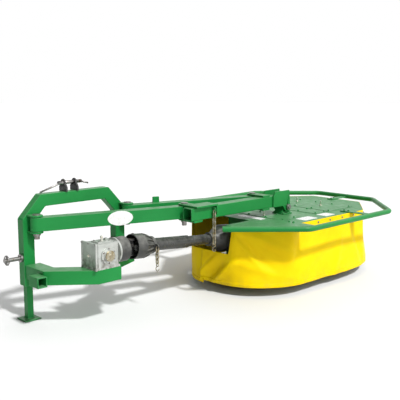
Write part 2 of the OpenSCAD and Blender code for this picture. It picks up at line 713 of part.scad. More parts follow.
// Two fork arms beside the cross, and the plate that joins them at the root
module fork(root) {
    for (y = [-fork_reach, fork_reach - fork_t]) bar([0, y, -fork_w / 2], [root, fork_t, fork_w]);
    bar([root - 15, -fork_reach, -fork_w / 2 - 5], [20, 2 * fork_reach, fork_w + 10]);
}
module left_cone() color(black) placed() at_joint() {
    along_x() rotate_extrude() polygon([
        [left_cone_r - 5, cone_mouth], [left_cone_r, cone_mouth], [left_cone_r, cone_body],
        [outer_r + 10, cone_neck], [outer_r + 10, collar_start], [collar_cone_r, collar_start],
        [collar_cone_r, cone_end], [outer_r + skirt_gap, cone_end], [outer_r + skirt_gap, cone_neck],
        [left_cone_r - 7, cone_body - 4], [left_cone_r - 5, cone_body - 10]]);
    for (i = [0 : rib_count - 1]) rotate([i * 360 / rib_count, 0, 0]) extrude_y(4)
        polygon([[cone_body - 8, left_cone_r - 2.5], [cone_body - 8, left_cone_r + 2],
            [cone_neck + 4, outer_r + 13], [cone_neck + 4, outer_r + 6]]);
    at_cone_lug() lug();
}
module at_cone_lug() translate([(collar_start + cone_end) / 2, 4 - collar_cone_r, 0])
    rotate([0, -shaft_slope, 0]) children();
module outer_tube() color(black) placed() at_joint() difference() {
    union() {
        translate([fork_l, 0, 0]) along_x() cylinder(r = outer_r, h = shaft_l - tube_end - fork_l);
        for (y = [-fork_reach, fork_reach - fork_t])
            translate([0, y, 0]) along_y() cylinder(r = fork_w / 2, h = fork_t);
        fork(fork_l);
    }
    translate([bore_start, 0, 0]) along_x() cylinder(r = inner_r + tube_play, h = shaft_l);
    along_y() cylinder(r = cross_r + pin_play, h = 4 * fork_reach, center = true);
}
module cone_chain() color(steel) placed() at_joint() at_cone_lug() lug_chain(4);
module inner_tube() color(black) placed() at_joint() {
    inner_start = bore_start + slide_travel + slide_rest;
    translate([inner_start, 0, 0]) along_x() cylinder(r = inner_r, h = shaft_l - fork_end - inner_start);
    translate([shaft_l - fork_gap, 0, 0]) mirror([1, 0, 0]) fork(fork_end - fork_gap);
}
module right_bell() color(black) placed() at_joint() along_x() translate([0, 0, shaft_l]) rotate_extrude()
    polygon([[inner_r + skirt_gap, bell_start], [inner_r + 14, bell_start], [inner_r + 14, bell_neck],
        [cone_r - 8, bell_body - 14], [cone_r, bell_body], [cone_r, bell_mouth], [cone_r - 6, bell_mouth],
        [cone_r - 6, bell_body + 4], [cone_r - 16, bell_body - 8], [inner_r + skirt_gap, bell_neck + 26]]);

mast_frame();
lower_beam();
socket_tube();
top_link_lugs();
lower_hitch_pins();
pivot_brackets();
pivot_pins();
gearbox_housing();
gearbox_end_plate();
gearbox_output_yoke();
shaft_shield();
pto_input_stub();
parking_leg();
main_arm();
stay_arm();
carrier_beam();
carrier_clevises();
carrier_pins();
hinge_clevis();
hinge_bolt();
chain_lug();
carrier_chain();
deck_plate();
skirt_rail();
deck_covers();
hinge_bracket();
guard_rail();
guard_brackets();
skirt();
gear_case();
mower_input_stub();
left_saucer();
right_saucer();
left_drum();
left_disc();
left_knives();
right_drum();
right_disc();
right_knives();
shaft_cross();
left_cone();
outer_tube();
cone_chain();
inner_tube();
right_bell();
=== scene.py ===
"""Looks of a rear-mounted drum mower: finishes, hung skirt, fasteners, blank plates, light and camera.

Lengths are in metres. Places on the deck are given from the deck's centre.
Places on the headstock are given from the left post's centre line on the ground.
"""
import bisect
import json
import math

import bmesh
import bpy
from mathutils import Matrix, Vector, noise


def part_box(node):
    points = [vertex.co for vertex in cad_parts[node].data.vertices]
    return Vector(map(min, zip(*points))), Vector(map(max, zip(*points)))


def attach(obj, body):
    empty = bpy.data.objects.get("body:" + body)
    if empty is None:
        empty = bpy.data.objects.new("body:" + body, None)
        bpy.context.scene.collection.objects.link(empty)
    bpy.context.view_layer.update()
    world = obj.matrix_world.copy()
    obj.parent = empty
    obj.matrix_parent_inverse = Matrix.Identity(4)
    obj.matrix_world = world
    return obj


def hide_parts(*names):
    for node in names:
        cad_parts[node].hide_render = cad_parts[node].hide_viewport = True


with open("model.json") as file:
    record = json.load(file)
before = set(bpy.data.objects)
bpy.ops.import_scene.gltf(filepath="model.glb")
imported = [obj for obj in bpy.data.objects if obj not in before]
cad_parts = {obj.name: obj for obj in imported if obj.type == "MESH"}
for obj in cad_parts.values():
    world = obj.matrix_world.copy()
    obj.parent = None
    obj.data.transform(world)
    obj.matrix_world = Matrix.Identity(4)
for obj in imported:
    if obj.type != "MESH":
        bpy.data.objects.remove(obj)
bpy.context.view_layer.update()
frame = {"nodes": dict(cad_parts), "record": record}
record = frame["record"]
X = Vector((1, 0, 0))
Y = Vector((0, 1, 0))
Z = Vector((0, 0, 1))

# Shader helpers: range that holds most values of a noise
NOISE_LOW = 0.3
NOISE_HIGH = 0.7
# Rays for the edge test, and its dot products for a flat face and for a sharp edge
EDGE_SAMPLES = 6
FLAT_DOT = 0.995
SHARP_DOT = 0.86


class Finish:
    """A principled material with short calls for the nodes that feed it."""

    def __init__(self, name, colour, rough, metal=0.0):
        self.material = bpy.data.materials.new(name)
        self.material.use_nodes = True
        self.tree = self.material.node_tree
        self.bsdf = self.tree.nodes["Principled BSDF"]
        self.bsdf.inputs["Base Color"].default_value = (*colour, 1)
        self.bsdf.inputs["Roughness"].default_value = rough
        self.bsdf.inputs["Metallic"].default_value = metal
        self.place = self.add("ShaderNodeTexCoord").outputs["Object"]
        self.normal = None

    def add(self, kind, **settings):
        node = self.tree.nodes.new(kind)
        for key, value in settings.items():
            setattr(node, key, value)
        return node

    def link(self, source, target):
        self.tree.links.new(source, target)

    def stretched(self, scale):
        node = self.add("ShaderNodeMapping")
        node.inputs["Scale"].default_value = scale
        self.link(self.place, node.inputs["Vector"])
        return node.outputs["Vector"]

    def noise(self, scale, detail, rough=0.55, vector=None):
        node = self.add("ShaderNodeTexNoise")
        node.inputs["Scale"].default_value = scale
        node.inputs["Detail"].default_value = detail
        node.inputs["Roughness"].default_value = rough
        self.link(vector or self.place, node.inputs["Vector"])
        return node.outputs["Fac"]

    def bands(self, scale, direction, vector):
        node = self.add("ShaderNodeTexWave", wave_type="BANDS", bands_direction=direction)
        node.inputs["Scale"].default_value = scale
        self.link(vector, node.inputs["Vector"])
        return node.outputs["Fac"]

    def window(self, value, low, high, least=0.0, most=1.0):
        """The range from low to high mapped onto least to most, which are kept beyond its ends."""
        node = self.add("ShaderNodeMapRange")
        node.inputs["From Min"].default_value = low
        node.inputs["From Max"].default_value = high
        node.inputs["To Min"].default_value = least
        node.inputs["To Max"].default_value = most
        self.link(value, node.inputs["Value"])
        return node.outputs["Result"]

    def patches(self, scale, detail, low, high, least=0.0, most=1.0, rough=0.55):
        return self.window(self.noise(scale, detail, rough), low, high, least, most)

    def combined(self, operation, a, b):
        node = self.add("ShaderNodeMath", operation=operation)
        self.link(a, node.inputs[0])
        self.link(b, node.inputs[1])
        return node.outputs["Value"]

    def times(self, a, b):
        return self.combined("MULTIPLY", a, b)

    def mix(self, share, a, b):
        """Colour a, with b over it by share. Each is a colour or a socket."""
        node = self.add("ShaderNodeMix", data_type="RGBA")
        self.link(share, node.inputs["Factor"])
        for value, socket in ((a, node.inputs[6]), (b, node.inputs[7])):
            if isinstance(value, tuple):
                socket.default_value = (*value, 1)
            else:
                self.link(value, socket)
        return node.outputs[2]

    def z_part(self, vector):
        node = self.add("ShaderNodeSeparateXYZ")
        self.link(vector, node.inputs["Vector"])
        return node.outputs["Z"]

    def face_normal(self):
        return self.add("ShaderNodeNewGeometry").outputs["Normal"]

    def up_facing(self, low, high, least=0.0, most=1.0):
        return self.window(self.z_part(self.face_normal()), low, high, least, most)

    def height(self, low, high, least=0.0, most=1.0):
        return self.window(self.z_part(self.place), low, high, least, most)

    def edges(self, radius):
        """Near 1 along sharp edges and 0 on flat faces."""
        bevel = self.add("ShaderNodeBevel", samples=EDGE_SAMPLES)
        bevel.inputs["Radius"].default_value = radius
        dot = self.add("ShaderNodeVectorMath", operation="DOT_PRODUCT")
        self.link(bevel.outputs["Normal"], dot.inputs[0])
        self.link(self.face_normal(), dot.inputs[1])
        return self.window(dot.outputs["Value"], FLAT_DOT, SHARP_DOT)

    def colour(self, socket):
        self.link(socket, self.bsdf.inputs["Base Color"])

    def rough_between(self, smoothest, roughest, scale, detail):
        rough = self.patches(scale, detail, NOISE_LOW, NOISE_HIGH, smoothest, roughest)
        self.link(rough, self.bsdf.inputs["Roughness"])

    def bump(self, height, strength, distance):
        node = self.add("ShaderNodeBump")
        node.inputs["Strength"].default_value = strength
        node.inputs["Distance"].default_value = distance
        self.link(height, node.inputs["Height"])
        if self.normal is not None:
            self.link(self.normal, node.inputs["Normal"])
        self.normal = node.outputs["Normal"]
        self.link(self.normal, self.bsdf.inputs["Normal"])

    def specular(self, level):
        self.bsdf.inputs["Specular IOR Level"].default_value = level

    def coat(self, weight, rough):
        self.bsdf.inputs["Coat Weight"].default_value = weight
        self.bsdf.inputs["Coat Roughness"].default_value = rough


# Colours
GREEN = (0.012, 0.216, 0.045)
GREEN_DEEP = (0.008, 0.172, 0.034)
# Pale green of rubbed edges, which also serves as a painted highlight along them
GREEN_WEAR_AND_HIGHLIGHT = (0.15, 0.42, 0.21)
# Pale green of top faces: dusty paint and a painted sheen that stands in for the sky's gloss
GREEN_DUST_AND_SHEEN = (0.36, 0.43, 0.33)
YELLOW = (0.84, 0.61, 0.002)
YELLOW_DEEP = (0.76, 0.51, 0.001)
SOIL = (0.16, 0.12, 0.06)
PLASTIC = (0.026, 0.027, 0.025)
# Grey of dusty plastic, also a painted light on its top faces
PLASTIC_DUST_AND_TOP_LIGHT = (0.20, 0.20, 0.18)
PLASTIC_SCUFF = (0.14, 0.14, 0.13)
CASTING = (0.50, 0.52, 0.49)
CASTING_CLEAN = (0.54, 0.56, 0.53)
CASTING_DULL = (0.38, 0.40, 0.37)
CASTING_EDGE = (0.75, 0.76, 0.74)
# Dark tone laid on the casting towards its bottom
CASTING_LOW_DARK = (0.12, 0.11, 0.08)
STEEL = (0.30, 0.29, 0.28)
STEEL_OILED = (0.31, 0.30, 0.29)
RUST = (0.16, 0.08, 0.04)
ZINC_OLD = (0.50, 0.48, 0.40)
ZINC_OLD_BLOOM = (0.30, 0.24, 0.13)
ZINC_NEW = (0.86, 0.85, 0.80)
ZINC_NEW_BLOOM = (0.66, 0.62, 0.50)
KNIFE = (0.40, 0.40, 0.40)
KNIFE_GROUND = (0.46, 0.46, 0.46)
KNIFE_STAIN = (0.20, 0.13, 0.07)
BLACK = (0.022, 0.022, 0.022)
SCRAPED = (0.30, 0.29, 0.28)
FILM = (0.72, 0.74, 0.72)
FILM_CLEAN = (0.74, 0.76, 0.74)
FILM_GRUBBY = (0.62, 0.62, 0.59)


# Materials
def green_paint():
    """Glossy brushed-on paint: orange peel, faded patches, paler top faces that are dusty paint and a painted
    sheen, and pale edges that are rubbed paint and a painted highlight.
    """
    f = Finish("green_paint", GREEN, rough=0.3)
    base = f.mix(f.patches(scale=3.4, detail=5, low=0.25, high=0.75), GREEN, GREEN_DEEP)
    # Pale edges: rubbed paint and a painted highlight in place of gloss on the rounded edges, stronger along
    # top edges
    edge_patches = f.times(f.edges(radius=0.004), f.patches(scale=38, detail=4, low=0.25, high=0.60))
    wear_and_highlight = f.times(edge_patches, f.up_facing(low=0.0, high=0.6, least=0.25))
    # Paler top faces: dusty paint, and a painted sheen in place of the gloss that lights top faces
    spread = f.patches(scale=13, detail=7, low=0.15, high=0.90, least=0.35, rough=0.7)
    top_tint = f.times(f.up_facing(low=0.4, high=1.0, most=0.24), spread)
    f.colour(f.mix(top_tint, f.mix(wear_and_highlight, base, GREEN_WEAR_AND_HIGHLIGHT), GREEN_DUST_AND_SHEEN))
    f.rough_between(0.30, 0.50, scale=21, detail=4)
    f.bump(f.noise(scale=240, detail=2), strength=0.06, distance=0.001)
    f.bump(f.noise(scale=7, detail=2), strength=0.08, distance=0.004)
    f.coat(weight=0.05, rough=0.2)
    f.specular(0.16)
    return f.material


def yellow_cloth():
    """Coated tarpaulin: fine scrim weave under the coating, faint scuffs, soil along the lower edge."""
    f = Finish("yellow_cloth", YELLOW, rough=0.42)
    tone = f.mix(f.patches(scale=4.5, detail=3, low=NOISE_LOW, high=NOISE_HIGH), YELLOW, YELLOW_DEEP)
    low_edge = f.height(low=0.16, high=0.075, most=0.30)
    soil = f.times(low_edge, f.patches(scale=16, detail=6, low=0.42, high=0.75))
    f.colour(f.mix(soil, tone, SOIL))
    f.rough_between(0.34, 0.52, scale=30, detail=4)
    weft = f.bands(scale=260, direction="Z", vector=f.place)
    warp = f.bands(scale=260, direction="DIAGONAL", vector=f.stretched((1, 1, 0)))
    f.bump(f.combined("ADD", weft, warp), strength=0.10, distance=0.0006)
    f.bump(f.noise(scale=9, detail=3), strength=0.18, distance=0.010)
    f.specular(0.06)
    return f.material


def black_plastic(name, dust_and_light_below, dust_and_light_on_top, smoothest, roughest):
    """Moulded plastic: fine grain, faint flow marks and scuffs, with a grey tint that is dusty and also a
    painted light, paler on top faces and a painted shade below.
    """
    f = Finish(name, PLASTIC, rough=smoothest)
    # Grey tint by facing: dusty plastic and a painted light on top faces, with less below as painted shade
    top_share = f.up_facing(low=-0.2, high=0.8, least=dust_and_light_below, most=dust_and_light_on_top)
    top_tint = f.times(top_share, f.patches(scale=23, detail=5, low=0.32, high=0.72))
    scuffs = f.times(f.edges(radius=0.003), f.patches(scale=60, detail=3, low=0.4, high=0.65, most=0.6))
    f.colour(f.mix(scuffs, f.mix(top_tint, PLASTIC, PLASTIC_DUST_AND_TOP_LIGHT), PLASTIC_SCUFF))
    f.rough_between(smoothest, roughest, scale=35, detail=4)
    f.bump(f.noise(scale=900, detail=2), strength=0.12, distance=0.0004)
    return f.material


def cast_aluminium():
    """Silver-painted casting: sand grain, dull patches, and a darker tone towards the bottom."""
    f = Finish("cast_aluminium", CASTING, rough=0.40, metal=0.6)
    dull = f.patches(scale=9, detail=4, low=NOISE_LOW, high=NOISE_HIGH)
    base = f.mix(dull, CASTING_CLEAN, CASTING_DULL)
    edge_patches = f.patches(scale=50, detail=3, low=0.35, high=0.6, least=0.2, most=0.9)
    edged = f.mix(f.times(f.edges(radius=0.003), edge_patches), base, CASTING_EDGE)
    # Darker towards the bottom of the casting, in noisy patches
    low_down = f.height(low=0.50, high=0.39, least=0.1, most=0.8)
    low_darkening = f.times(low_down, f.patches(scale=34, detail=5, low=0.42, high=0.66))
    f.colour(f.mix(low_darkening, edged, CASTING_LOW_DARK))
    f.rough_between(0.30, 0.54, scale=40, detail=4)
    f.bump(f.noise(scale=320, detail=3), strength=0.22, distance=0.0009)
    return f.material


def bare_steel():
    """Turned steel with fine lathe lines, oil stains and the first rust."""
    f = Finish("bare_steel", STEEL, rough=0.36, metal=1.0)
    f.colour(f.mix(f.patches(scale=42, detail=6, low=0.56, high=0.72, most=0.75), STEEL_OILED, RUST))
    f.rough_between(0.28, 0.55, scale=70, detail=4)
    lathe = f.noise(scale=1.0, detail=2, rough=0.5, vector=f.stretched((900, 40, 40)))
    f.bump(lathe, strength=0.10, distance=0.0004)
    return f.material


def zinc_plate(name, bright, bloomed):
    """Zinc plate with its yellowish bloom, dull in places."""
    f = Finish(name, bright, rough=0.34, metal=1.0)
    f.colour(f.mix(f.patches(scale=55, detail=4, low=0.35, high=0.65), bright, bloomed))
    f.rough_between(0.26, 0.5, scale=120, detail=3)
    f.bump(f.noise(scale=500, detail=2), strength=0.10, distance=0.0004)
    return f.material


def knife_steel():
    """Ground steel with grinding marks across the blade and stains."""
    f = Finish("knife_steel", KNIFE, rough=0.3, metal=1.0)
    f.colour(f.mix(f.patches(scale=60, detail=5, low=0.45, high=0.7), KNIFE_GROUND, KNIFE_STAIN))
    f.rough_between(0.22, 0.5, scale=90, detail=3)
    marks = f.noise(scale=1.0, detail=2, rough=0.5, vector=f.stretched((1200, 60, 60)))
    f.bump(marks, strength=0.15, distance=0.0004)
    return f.material


def black_paint():
    """Satin black paint scraped to bare metal at its edges."""
    f = Finish("black_paint", BLACK, rough=0.4)
    scraped = f.times(f.edges(radius=0.004), f.patches(scale=30, detail=5, low=0.4, high=0.6))
    top_share = f.up_facing(low=0.3, high=1.0, most=0.35)
    top_tint = f.times(top_share, f.patches(scale=14, detail=5, low=0.4, high=0.7))
    f.colour(f.mix(scraped, f.mix(top_tint, BLACK, SOIL), SCRAPED))
    f.rough_between(0.32, 0.55, scale=26, detail=4)
    f.bump(f.noise(scale=260, detail=2), strength=0.08, distance=0.0008)
    return f.material


def blank_label():
    """White vinyl film, a little grubby, with nothing on it."""
    f = Finish("blank_label", FILM, rough=0.28)
    f.colour(f.mix(f.patches(scale=45, detail=5, low=0.45, high=0.75), FILM_CLEAN, FILM_GRUBBY))
    f.rough_between(0.22, 0.38, scale=80, detail=3)
    f.bump(f.noise(scale=160, detail=2), strength=0.05, distance=0.0004)
    return f.material


materials = {
    "green_paint": green_paint(),
    "yellow_cloth": yellow_cloth(),
    # Amounts of the grey tint below and on top: dusty plastic with a painted light on top and painted shade
    # below
    "black_plastic": black_plastic(
        "black_plastic", dust_and_light_below=0.02, dust_and_light_on_top=0.90, smoothest=0.34, roughest=0.52),
    "cast_aluminium": cast_aluminium(),
    "bare_steel": bare_steel(),
    "chain_steel": zinc_plate("chain_steel", ZINC_OLD, ZINC_OLD_BLOOM),
    "knife_steel": knife_steel(),
    "black_paint": black_paint(),
}
label_film = blank_label()
new_zinc = zinc_plate("new_zinc", ZINC_NEW, ZINC_NEW_BLOOM)
shiny_plastic = black_plastic(
    "shiny_plastic", dust_and_light_below=0.0, dust_and_light_on_top=0.45, smoothest=0.18, roughest=0.32)

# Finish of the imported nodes: rounded edges, soft shading and a material
TUBE_EDGE = 0.007
TUBE_SEGMENTS = 3
PLATE_EDGE = 0.0025
FINE_EDGE = 0.0008
EDGE_SEGMENTS = 2
WELD_GAP = 0.00001
SHARP_ANGLE = math.radians(40)
SHADE_WEIGHT = 80
TUBES = ("mast_frame", "lower_beam", "main_arm", "stay_arm", "carrier_beam", "socket_tube", "parking_leg")
FINE = ("left_cone", "carrier_chain", "cone_chain", "left_knives", "right_knives")
SWEPT = ("guard_rail",)
SHINY = ("outer_tube", "inner_tube")


def round_edges(obj, width, segments):
    weld = obj.modifiers.new("weld", "WELD")
    weld.merge_threshold = WELD_GAP
    bevel = obj.modifiers.new("edges", "BEVEL")
    bevel.width = width
    bevel.segments = segments
    bevel.limit_method = "ANGLE"
    bevel.angle_limit = SHARP_ANGLE
    bevel.use_clamp_overlap = True
    shade = obj.modifiers.new("shade", "WEIGHTED_NORMAL")
    shade.weight = SHADE_WEIGHT
    shade.keep_sharp = False


def finish_nodes():
    slot_of = {row["node"]: row["material_slot"] for row in record["subparts"]}
    for name, node in frame["nodes"].items():
        node.data.materials.clear()
        node.data.materials.append(shiny_plastic if name in SHINY else materials[slot_of[name]])
        if name in TUBES:
            round_edges(node, TUBE_EDGE, TUBE_SEGMENTS)
        elif name in FINE:
            round_edges(node, FINE_EDGE, EDGE_SEGMENTS)
        elif name not in SWEPT:
            round_edges(node, PLATE_EDGE, EDGE_SEGMENTS)


finish_nodes()


# Mesh helpers
def add_to_scene(name, data):
    obj = bpy.data.objects.new(name, data)
    bpy.context.scene.collection.objects.link(obj)
    return obj


def add_piece(name, mesh, body, slot, material=None, smooth=True):
    obj = add_to_scene(name, mesh)
    mesh.materials.append(material or materials[slot])
    for face in mesh.polygons:
        face.use_smooth = smooth
    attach(obj, body)
    return obj


def mesh_from(name, build):
    """A mesh made by build(bm)."""
    bm = bmesh.new()
    build(bm)
    bmesh.ops.recalc_face_normals(bm, faces=bm.faces)
    mesh = bpy.data.meshes.new(name)
    bm.to_mesh(mesh)
    bm.free()
    return mesh


def join_rings(bm, rings, closed=True):
    """Quads from each ring of points to the next. Rings that aren't closed are rows."""
    for low, high in zip(rings, rings[1:]):
        count = len(low)
        for k in range(count if closed else count - 1):
            after = (k + 1) % count
            bm.faces.new((low[k], low[after], high[after], high[k]))


def cap_rings(bm, rings):
    bm.faces.new(list(reversed(rings[0])))
    bm.faces.new(rings[-1])


def circle(count):
    """Cosine and sine of evenly spaced angles."""
    angles = [2 * math.pi * k / count for k in range(count)]
    return [(math.cos(a), math.sin(a)) for a in angles]


def middle(low, high):
    return (low + high) / 2


def smooth_step(x, low, high):
    t = max(0.0, min(1.0, (x - low) / (high - low)))
    return t * t * (3 - 2 * t)


# Deck outline, shared by the skirt and what is bolted along it
deck_lo, deck_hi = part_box("deck_plate")
DECK = middle(deck_lo, deck_hi)
DECK_TOP = deck_hi.z
HALF_X = (deck_hi.x - deck_lo.x) / 2
HALF_Y = (deck_hi.y - deck_lo.y) / 2
CUT_X = 0.362
CUT_Y = 0.265
FRONT_CUT_Y = 0.340


def on_deck(x, y, z):
    return Vector((DECK.x + x, DECK.y + y, z))


def deck_outline():
    return [
        Vector((-HALF_X, -HALF_Y + CUT_Y)), Vector((-HALF_X + CUT_X, -HALF_Y)),
        Vector((HALF_X - CUT_X, -HALF_Y)), Vector((HALF_X, -HALF_Y + CUT_Y)),
        Vector((HALF_X, HALF_Y - CUT_Y)), Vector((HALF_X - CUT_X, HALF_Y)),
        Vector((-HALF_X + CUT_X, HALF_Y)), Vector((-HALF_X, HALF_Y - FRONT_CUT_Y)),
    ]


# Skirt: one strip round the deck, its ends overlapping below the drive shaft
SKIRT_TOP = DECK_TOP
SKIRT_BOTTOM = 0.075
SKIRT_ROWS = 46
CLOTH_T = 0.0022
STAND_OFF = 0.004
STEP = 0.010
CORNER_BEND = 0.060
# Notch for the drive shaft: height, reach along the left side, and the run over which it starts and ends
NOTCH_TOP = 0.320
NOTCH_REACH = 0.120
NOTCH_BACK = -HALF_Y + CUT_Y
NOTCH_BACK_EASE = (0.002, 0.040)
NOTCH_FRONT = 0.225
NOTCH_FRONT_EASE = (0.030, -0.006)
# Slit where the strip's ends lap: place, lap, drop of the lower edge, and distances back from the strip's end
SLIT_Y = 0.022
SLIT_LAP = 0.030
SLIT_DROP = 0.016
SLIT_DROP_EASE = (0.40, 0.05)
LAP_IN = 0.008
LAP_EASE = (0.10, 0.02)
# Lower edge: how far along the strip its corners are drawn in, how far it stands out, and how that grows
HEM_SOFT = 0.170
HEM_SOFT_STEPS = 8
HEM_SOFT_REACH = 20
HEM_OUT = 0.022
HEM_CURVE = 1.5
# Folded band along the lower edge: height and lift
HEM_BAND = ((0.0, 0.0), (0.0, 0.0014), (0.003, 0.0024), (0.026, 0.0024), (0.030, 0.0014), (0.030, 0.0))
# Waves of the hanging cloth: how often along and upward, seed, depth
WAVES = ((2.1, 1.3, 4.0, 0.020), (7.5, 2.2, 9.0, 0.007))
HANG_CURVE = 1.4
HANG_OUT = 0.010
INMOST_TOP = -0.002
INMOST_LOW = -0.040
CREASE_START = 5
# Flare of the lower edge, which hangs rounder than the deck: distance along the strip, reach, amount
FLARE = (
    (0.14, 0.15, -0.030),
    (0.54, 0.21, 0.024),
    (1.45, 0.55, 0.026),
    (2.40, 0.40, 0.018),
    (3.60, 0.60, 0.020),
    (4.42, 0.26, -0.036),
)
# Creases of the skirt: distance along the strip, height, slope, reach along and across, depth
CREASES = (
    (0.36, 0.40, -1.2, 0.20, 0.022, 0.016),
    (0.43, 0.36, -0.9, 0.24, 0.028, -0.014),
    (0.58, 0.40, -0.5, 0.26, 0.034, 0.010),
    (0.22, 0.17, 0.9, 0.12, 0.024, 0.030),
    (0.13, 0.17, 1.1, 0.11, 0.024, -0.022),
    (0.06, 0.20, 1.0, 0.12, 0.024, 0.024),
    (0.52, 0.20, -0.3, 0.26, 0.034, 0.012),
    (0.80, 0.30, 2.6, 0.24, 0.035, -0.009),
    (1.05, 0.26, 0.4, 0.26, 0.040, 0.008),
    (1.30, 0.20, 1.9, 0.20, 0.040, 0.009),
    (1.62, 0.26, -2.2, 0.22, 0.034, -0.009),
    (2.05, 0.22, 1.4, 0.20, 0.034, 0.010),
    (2.60, 0.24, -1.6, 0.20, 0.036, 0.010),
    (3.20, 0.22, 2.0, 0.22, 0.036, -0.010),
    (3.90, 0.24, -1.8, 0.22, 0.036, 0.010),
)


def rounded_path(points, radius):
    """Dense points and outward normals along an open polyline whose corners are rounded, turning left."""
    places = []
    normals = []

    def run(a, b):
        d = (b - a).normalized()
        count = max(2, round((b - a).length / STEP))
        for k in range(count):
            places.append(a.lerp(b, k / count))
            normals.append(Vector((d.y, -d.x)))

    start = points[0]
    for before, corner, after in zip(points, points[1:], points[2:]):
        u = (corner - before).normalized()
        w = (after - corner).normalized()
        angle = math.acos(max(-1.0, min(1.0, u.dot(w))))
        reach = radius * math.tan(angle / 2)
        run(start, corner - u * reach)
        centre = corner - u * reach + Vector((-u.y, u.x)) * radius
        count = max(3, round(angle * radius / STEP))
        for k in range(count):
            n = Matrix.Rotation(angle * k / count, 2) @ Vector((u.y, -u.x))
            places.append(centre + n * radius)
            normals.append(n)
        start = corner + w * reach
    run(start, points[-1])
    places.append(points[-1])
    normals.append(normals[-1])
    return places, normals


def skirt_strip():
    left = -HALF_X
    points = [Vector((left, SLIT_Y + SLIT_LAP))] + deck_outline() + [Vector((left, SLIT_Y))]
    return rounded_path(points, CORNER_BEND)


def strip_lengths(places):
    lengths = [0.0]
    for a, b in zip(places, places[1:]):
        lengths.append(lengths[-1] + (b - a).length)
    return lengths


def rounder(places, lengths):
    """The strip's line with its corners drawn in, as the loose lower edge hangs."""
    offsets = range(-HEM_SOFT_REACH, HEM_SOFT_REACH + 1)
    weights = [math.exp(-(k / HEM_SOFT_STEPS) ** 2) for k in offsets]
    total = sum(weights)
    step = HEM_SOFT / HEM_SOFT_STEPS
    last = len(places) - 1
    result = []
    for s in lengths:
        mean = Vector((0, 0))
        for k, weight in zip(offsets, weights):
            t = s + k * step
            i = min(max(bisect.bisect_right(lengths, t) - 1, 0), last - 1)
            run = lengths[i + 1] - lengths[i]
            mean += places[i].lerp(places[i + 1], (t - lengths[i]) / run) * (weight / total)
        result.append(mean)
    return result


def outward(places):
    last = len(places) - 1
    result = []
    for i in range(len(places)):
        d = (places[min(i + 1, last)] - places[max(i - 1, 0)]).normalized()
        result.append(Vector((d.y, -d.x)))
    return result


def hang_share(z):
    """0 at the skirt's upper edge and 1 at its lower edge."""
    return (SKIRT_TOP - z) / (SKIRT_TOP - SKIRT_BOTTOM)


def billow(s, z):
    """How far the hanging cloth stands out at a distance along the strip and a height."""
    depth = hang_share(z)
    hang = max(depth, 0.0) ** HANG_CURVE
    waves = [noise.noise(Vector((s * along, z * up, seed))) * amount for along, up, seed, amount in WAVES]
    out = HANG_OUT * hang + sum(waves) * hang
    for s0, reach, amount in FLARE:
        out += amount * hang * math.exp(-((s - s0) / reach) ** 2)
    for s0, z0, slope, along, across, amount in CREASES:
        lean = Vector((1, slope)).normalized()
        rel = Vector((s - s0, z - z0))
        a = rel.dot(lean) / along
        b = rel.dot(Vector((-lean.y, lean.x))) / across
        out += amount * math.exp(-a * a - b * b) * min(1.0, depth * CREASE_START)
    return max(out, INMOST_TOP + INMOST_LOW * hang)


def skirt_top(place):
    """Height of the cloth's upper edge: low where the drive shaft passes."""
    if place.x > -HALF_X + NOTCH_REACH:
        return SKIRT_TOP
    back = smooth_step(place.y, *(NOTCH_BACK + ease for ease in NOTCH_BACK_EASE))
    front = smooth_step(place.y, *(NOTCH_FRONT + ease for ease in NOTCH_FRONT_EASE))
    return SKIRT_TOP + (NOTCH_TOP - SKIRT_TOP) * min(back, front)


def build_skirt():
    places, normals = skirt_strip()
    lengths = strip_lengths(places)
    total = lengths[-1]
    hem_places = rounder(places, lengths)
    hem_normals = outward(hem_places)

    def near_end(i, ease):
        return smooth_step(lengths[i], *(total - back for back in ease))

    def hem_height(i):
        return SKIRT_BOTTOM - SLIT_DROP * near_end(i, SLIT_DROP_EASE)

    def surface(i, z, lift=0.0):
        share = max(hang_share(z), 0.0) ** HEM_CURVE
        n = normals[i].lerp(hem_normals[i], share).normalized()
        base = places[i].lerp(hem_places[i] + hem_normals[i] * HEM_OUT, share)
        p = base + n * (STAND_OFF + billow(lengths[i], z) - LAP_IN * near_end(i, LAP_EASE) + lift)
        return on_deck(p.x, p.y, z)

    def sheet(bm):
        rows = []
        for i, place in enumerate(places):
            top = skirt_top(place)
            drop = hem_height(i) - top
            heights = [top + drop * j / SKIRT_ROWS for j in range(SKIRT_ROWS + 1)]
            rows.append([bm.verts.new(surface(i, z)) for z in heights])
        join_rings(bm, rows, closed=False)

    def band(bm):
        rows = []
        for i in range(len(places)):
            low = hem_height(i)
            rows.append([bm.verts.new(surface(i, low + up, lift)) for up, lift in HEM_BAND])
        join_rings(bm, rows, closed=False)

    cloth = add_piece("skirt_cloth", mesh_from("skirt_cloth", sheet), "mower", "yellow_cloth")
    thick = cloth.modifiers.new("cloth", "SOLIDIFY")
    thick.thickness = CLOTH_T
    thick.offset = -1
    hem = add_piece("skirt_hem", mesh_from("skirt_hem", band), "mower", "yellow_cloth")
    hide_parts("skirt")


# Bolts, many in one mesh: radius, lower and upper height as shares of the bolt's size, then sides and taper
BOLT_ROWS = (
    (1.15, 0.0, 0.16, 20, 1.0),
    (0.92, 0.16, 0.74, 6, 1.0),
    (0.80, 0.74, 0.84, 6, 0.8),
    (0.46, 0.84, 1.05, 12, 0.92),
)


def add_bolts(bm, places, axis, size):
    """Heads standing on a face at each place, pointing along axis."""
    turn = Z.rotation_difference(Vector(axis)).to_matrix().to_4x4()
    for place in places:
        base = Matrix.Translation(place) @ turn
        for radius, low, high, sides, taper in BOLT_ROWS:
            bmesh.ops.create_cone(
                bm, cap_ends=True, segments=sides, radius1=size * radius, radius2=size * radius * taper,
                depth=size * (high - low), matrix=base @ Matrix.Translation(Z * size * middle(low, high)))


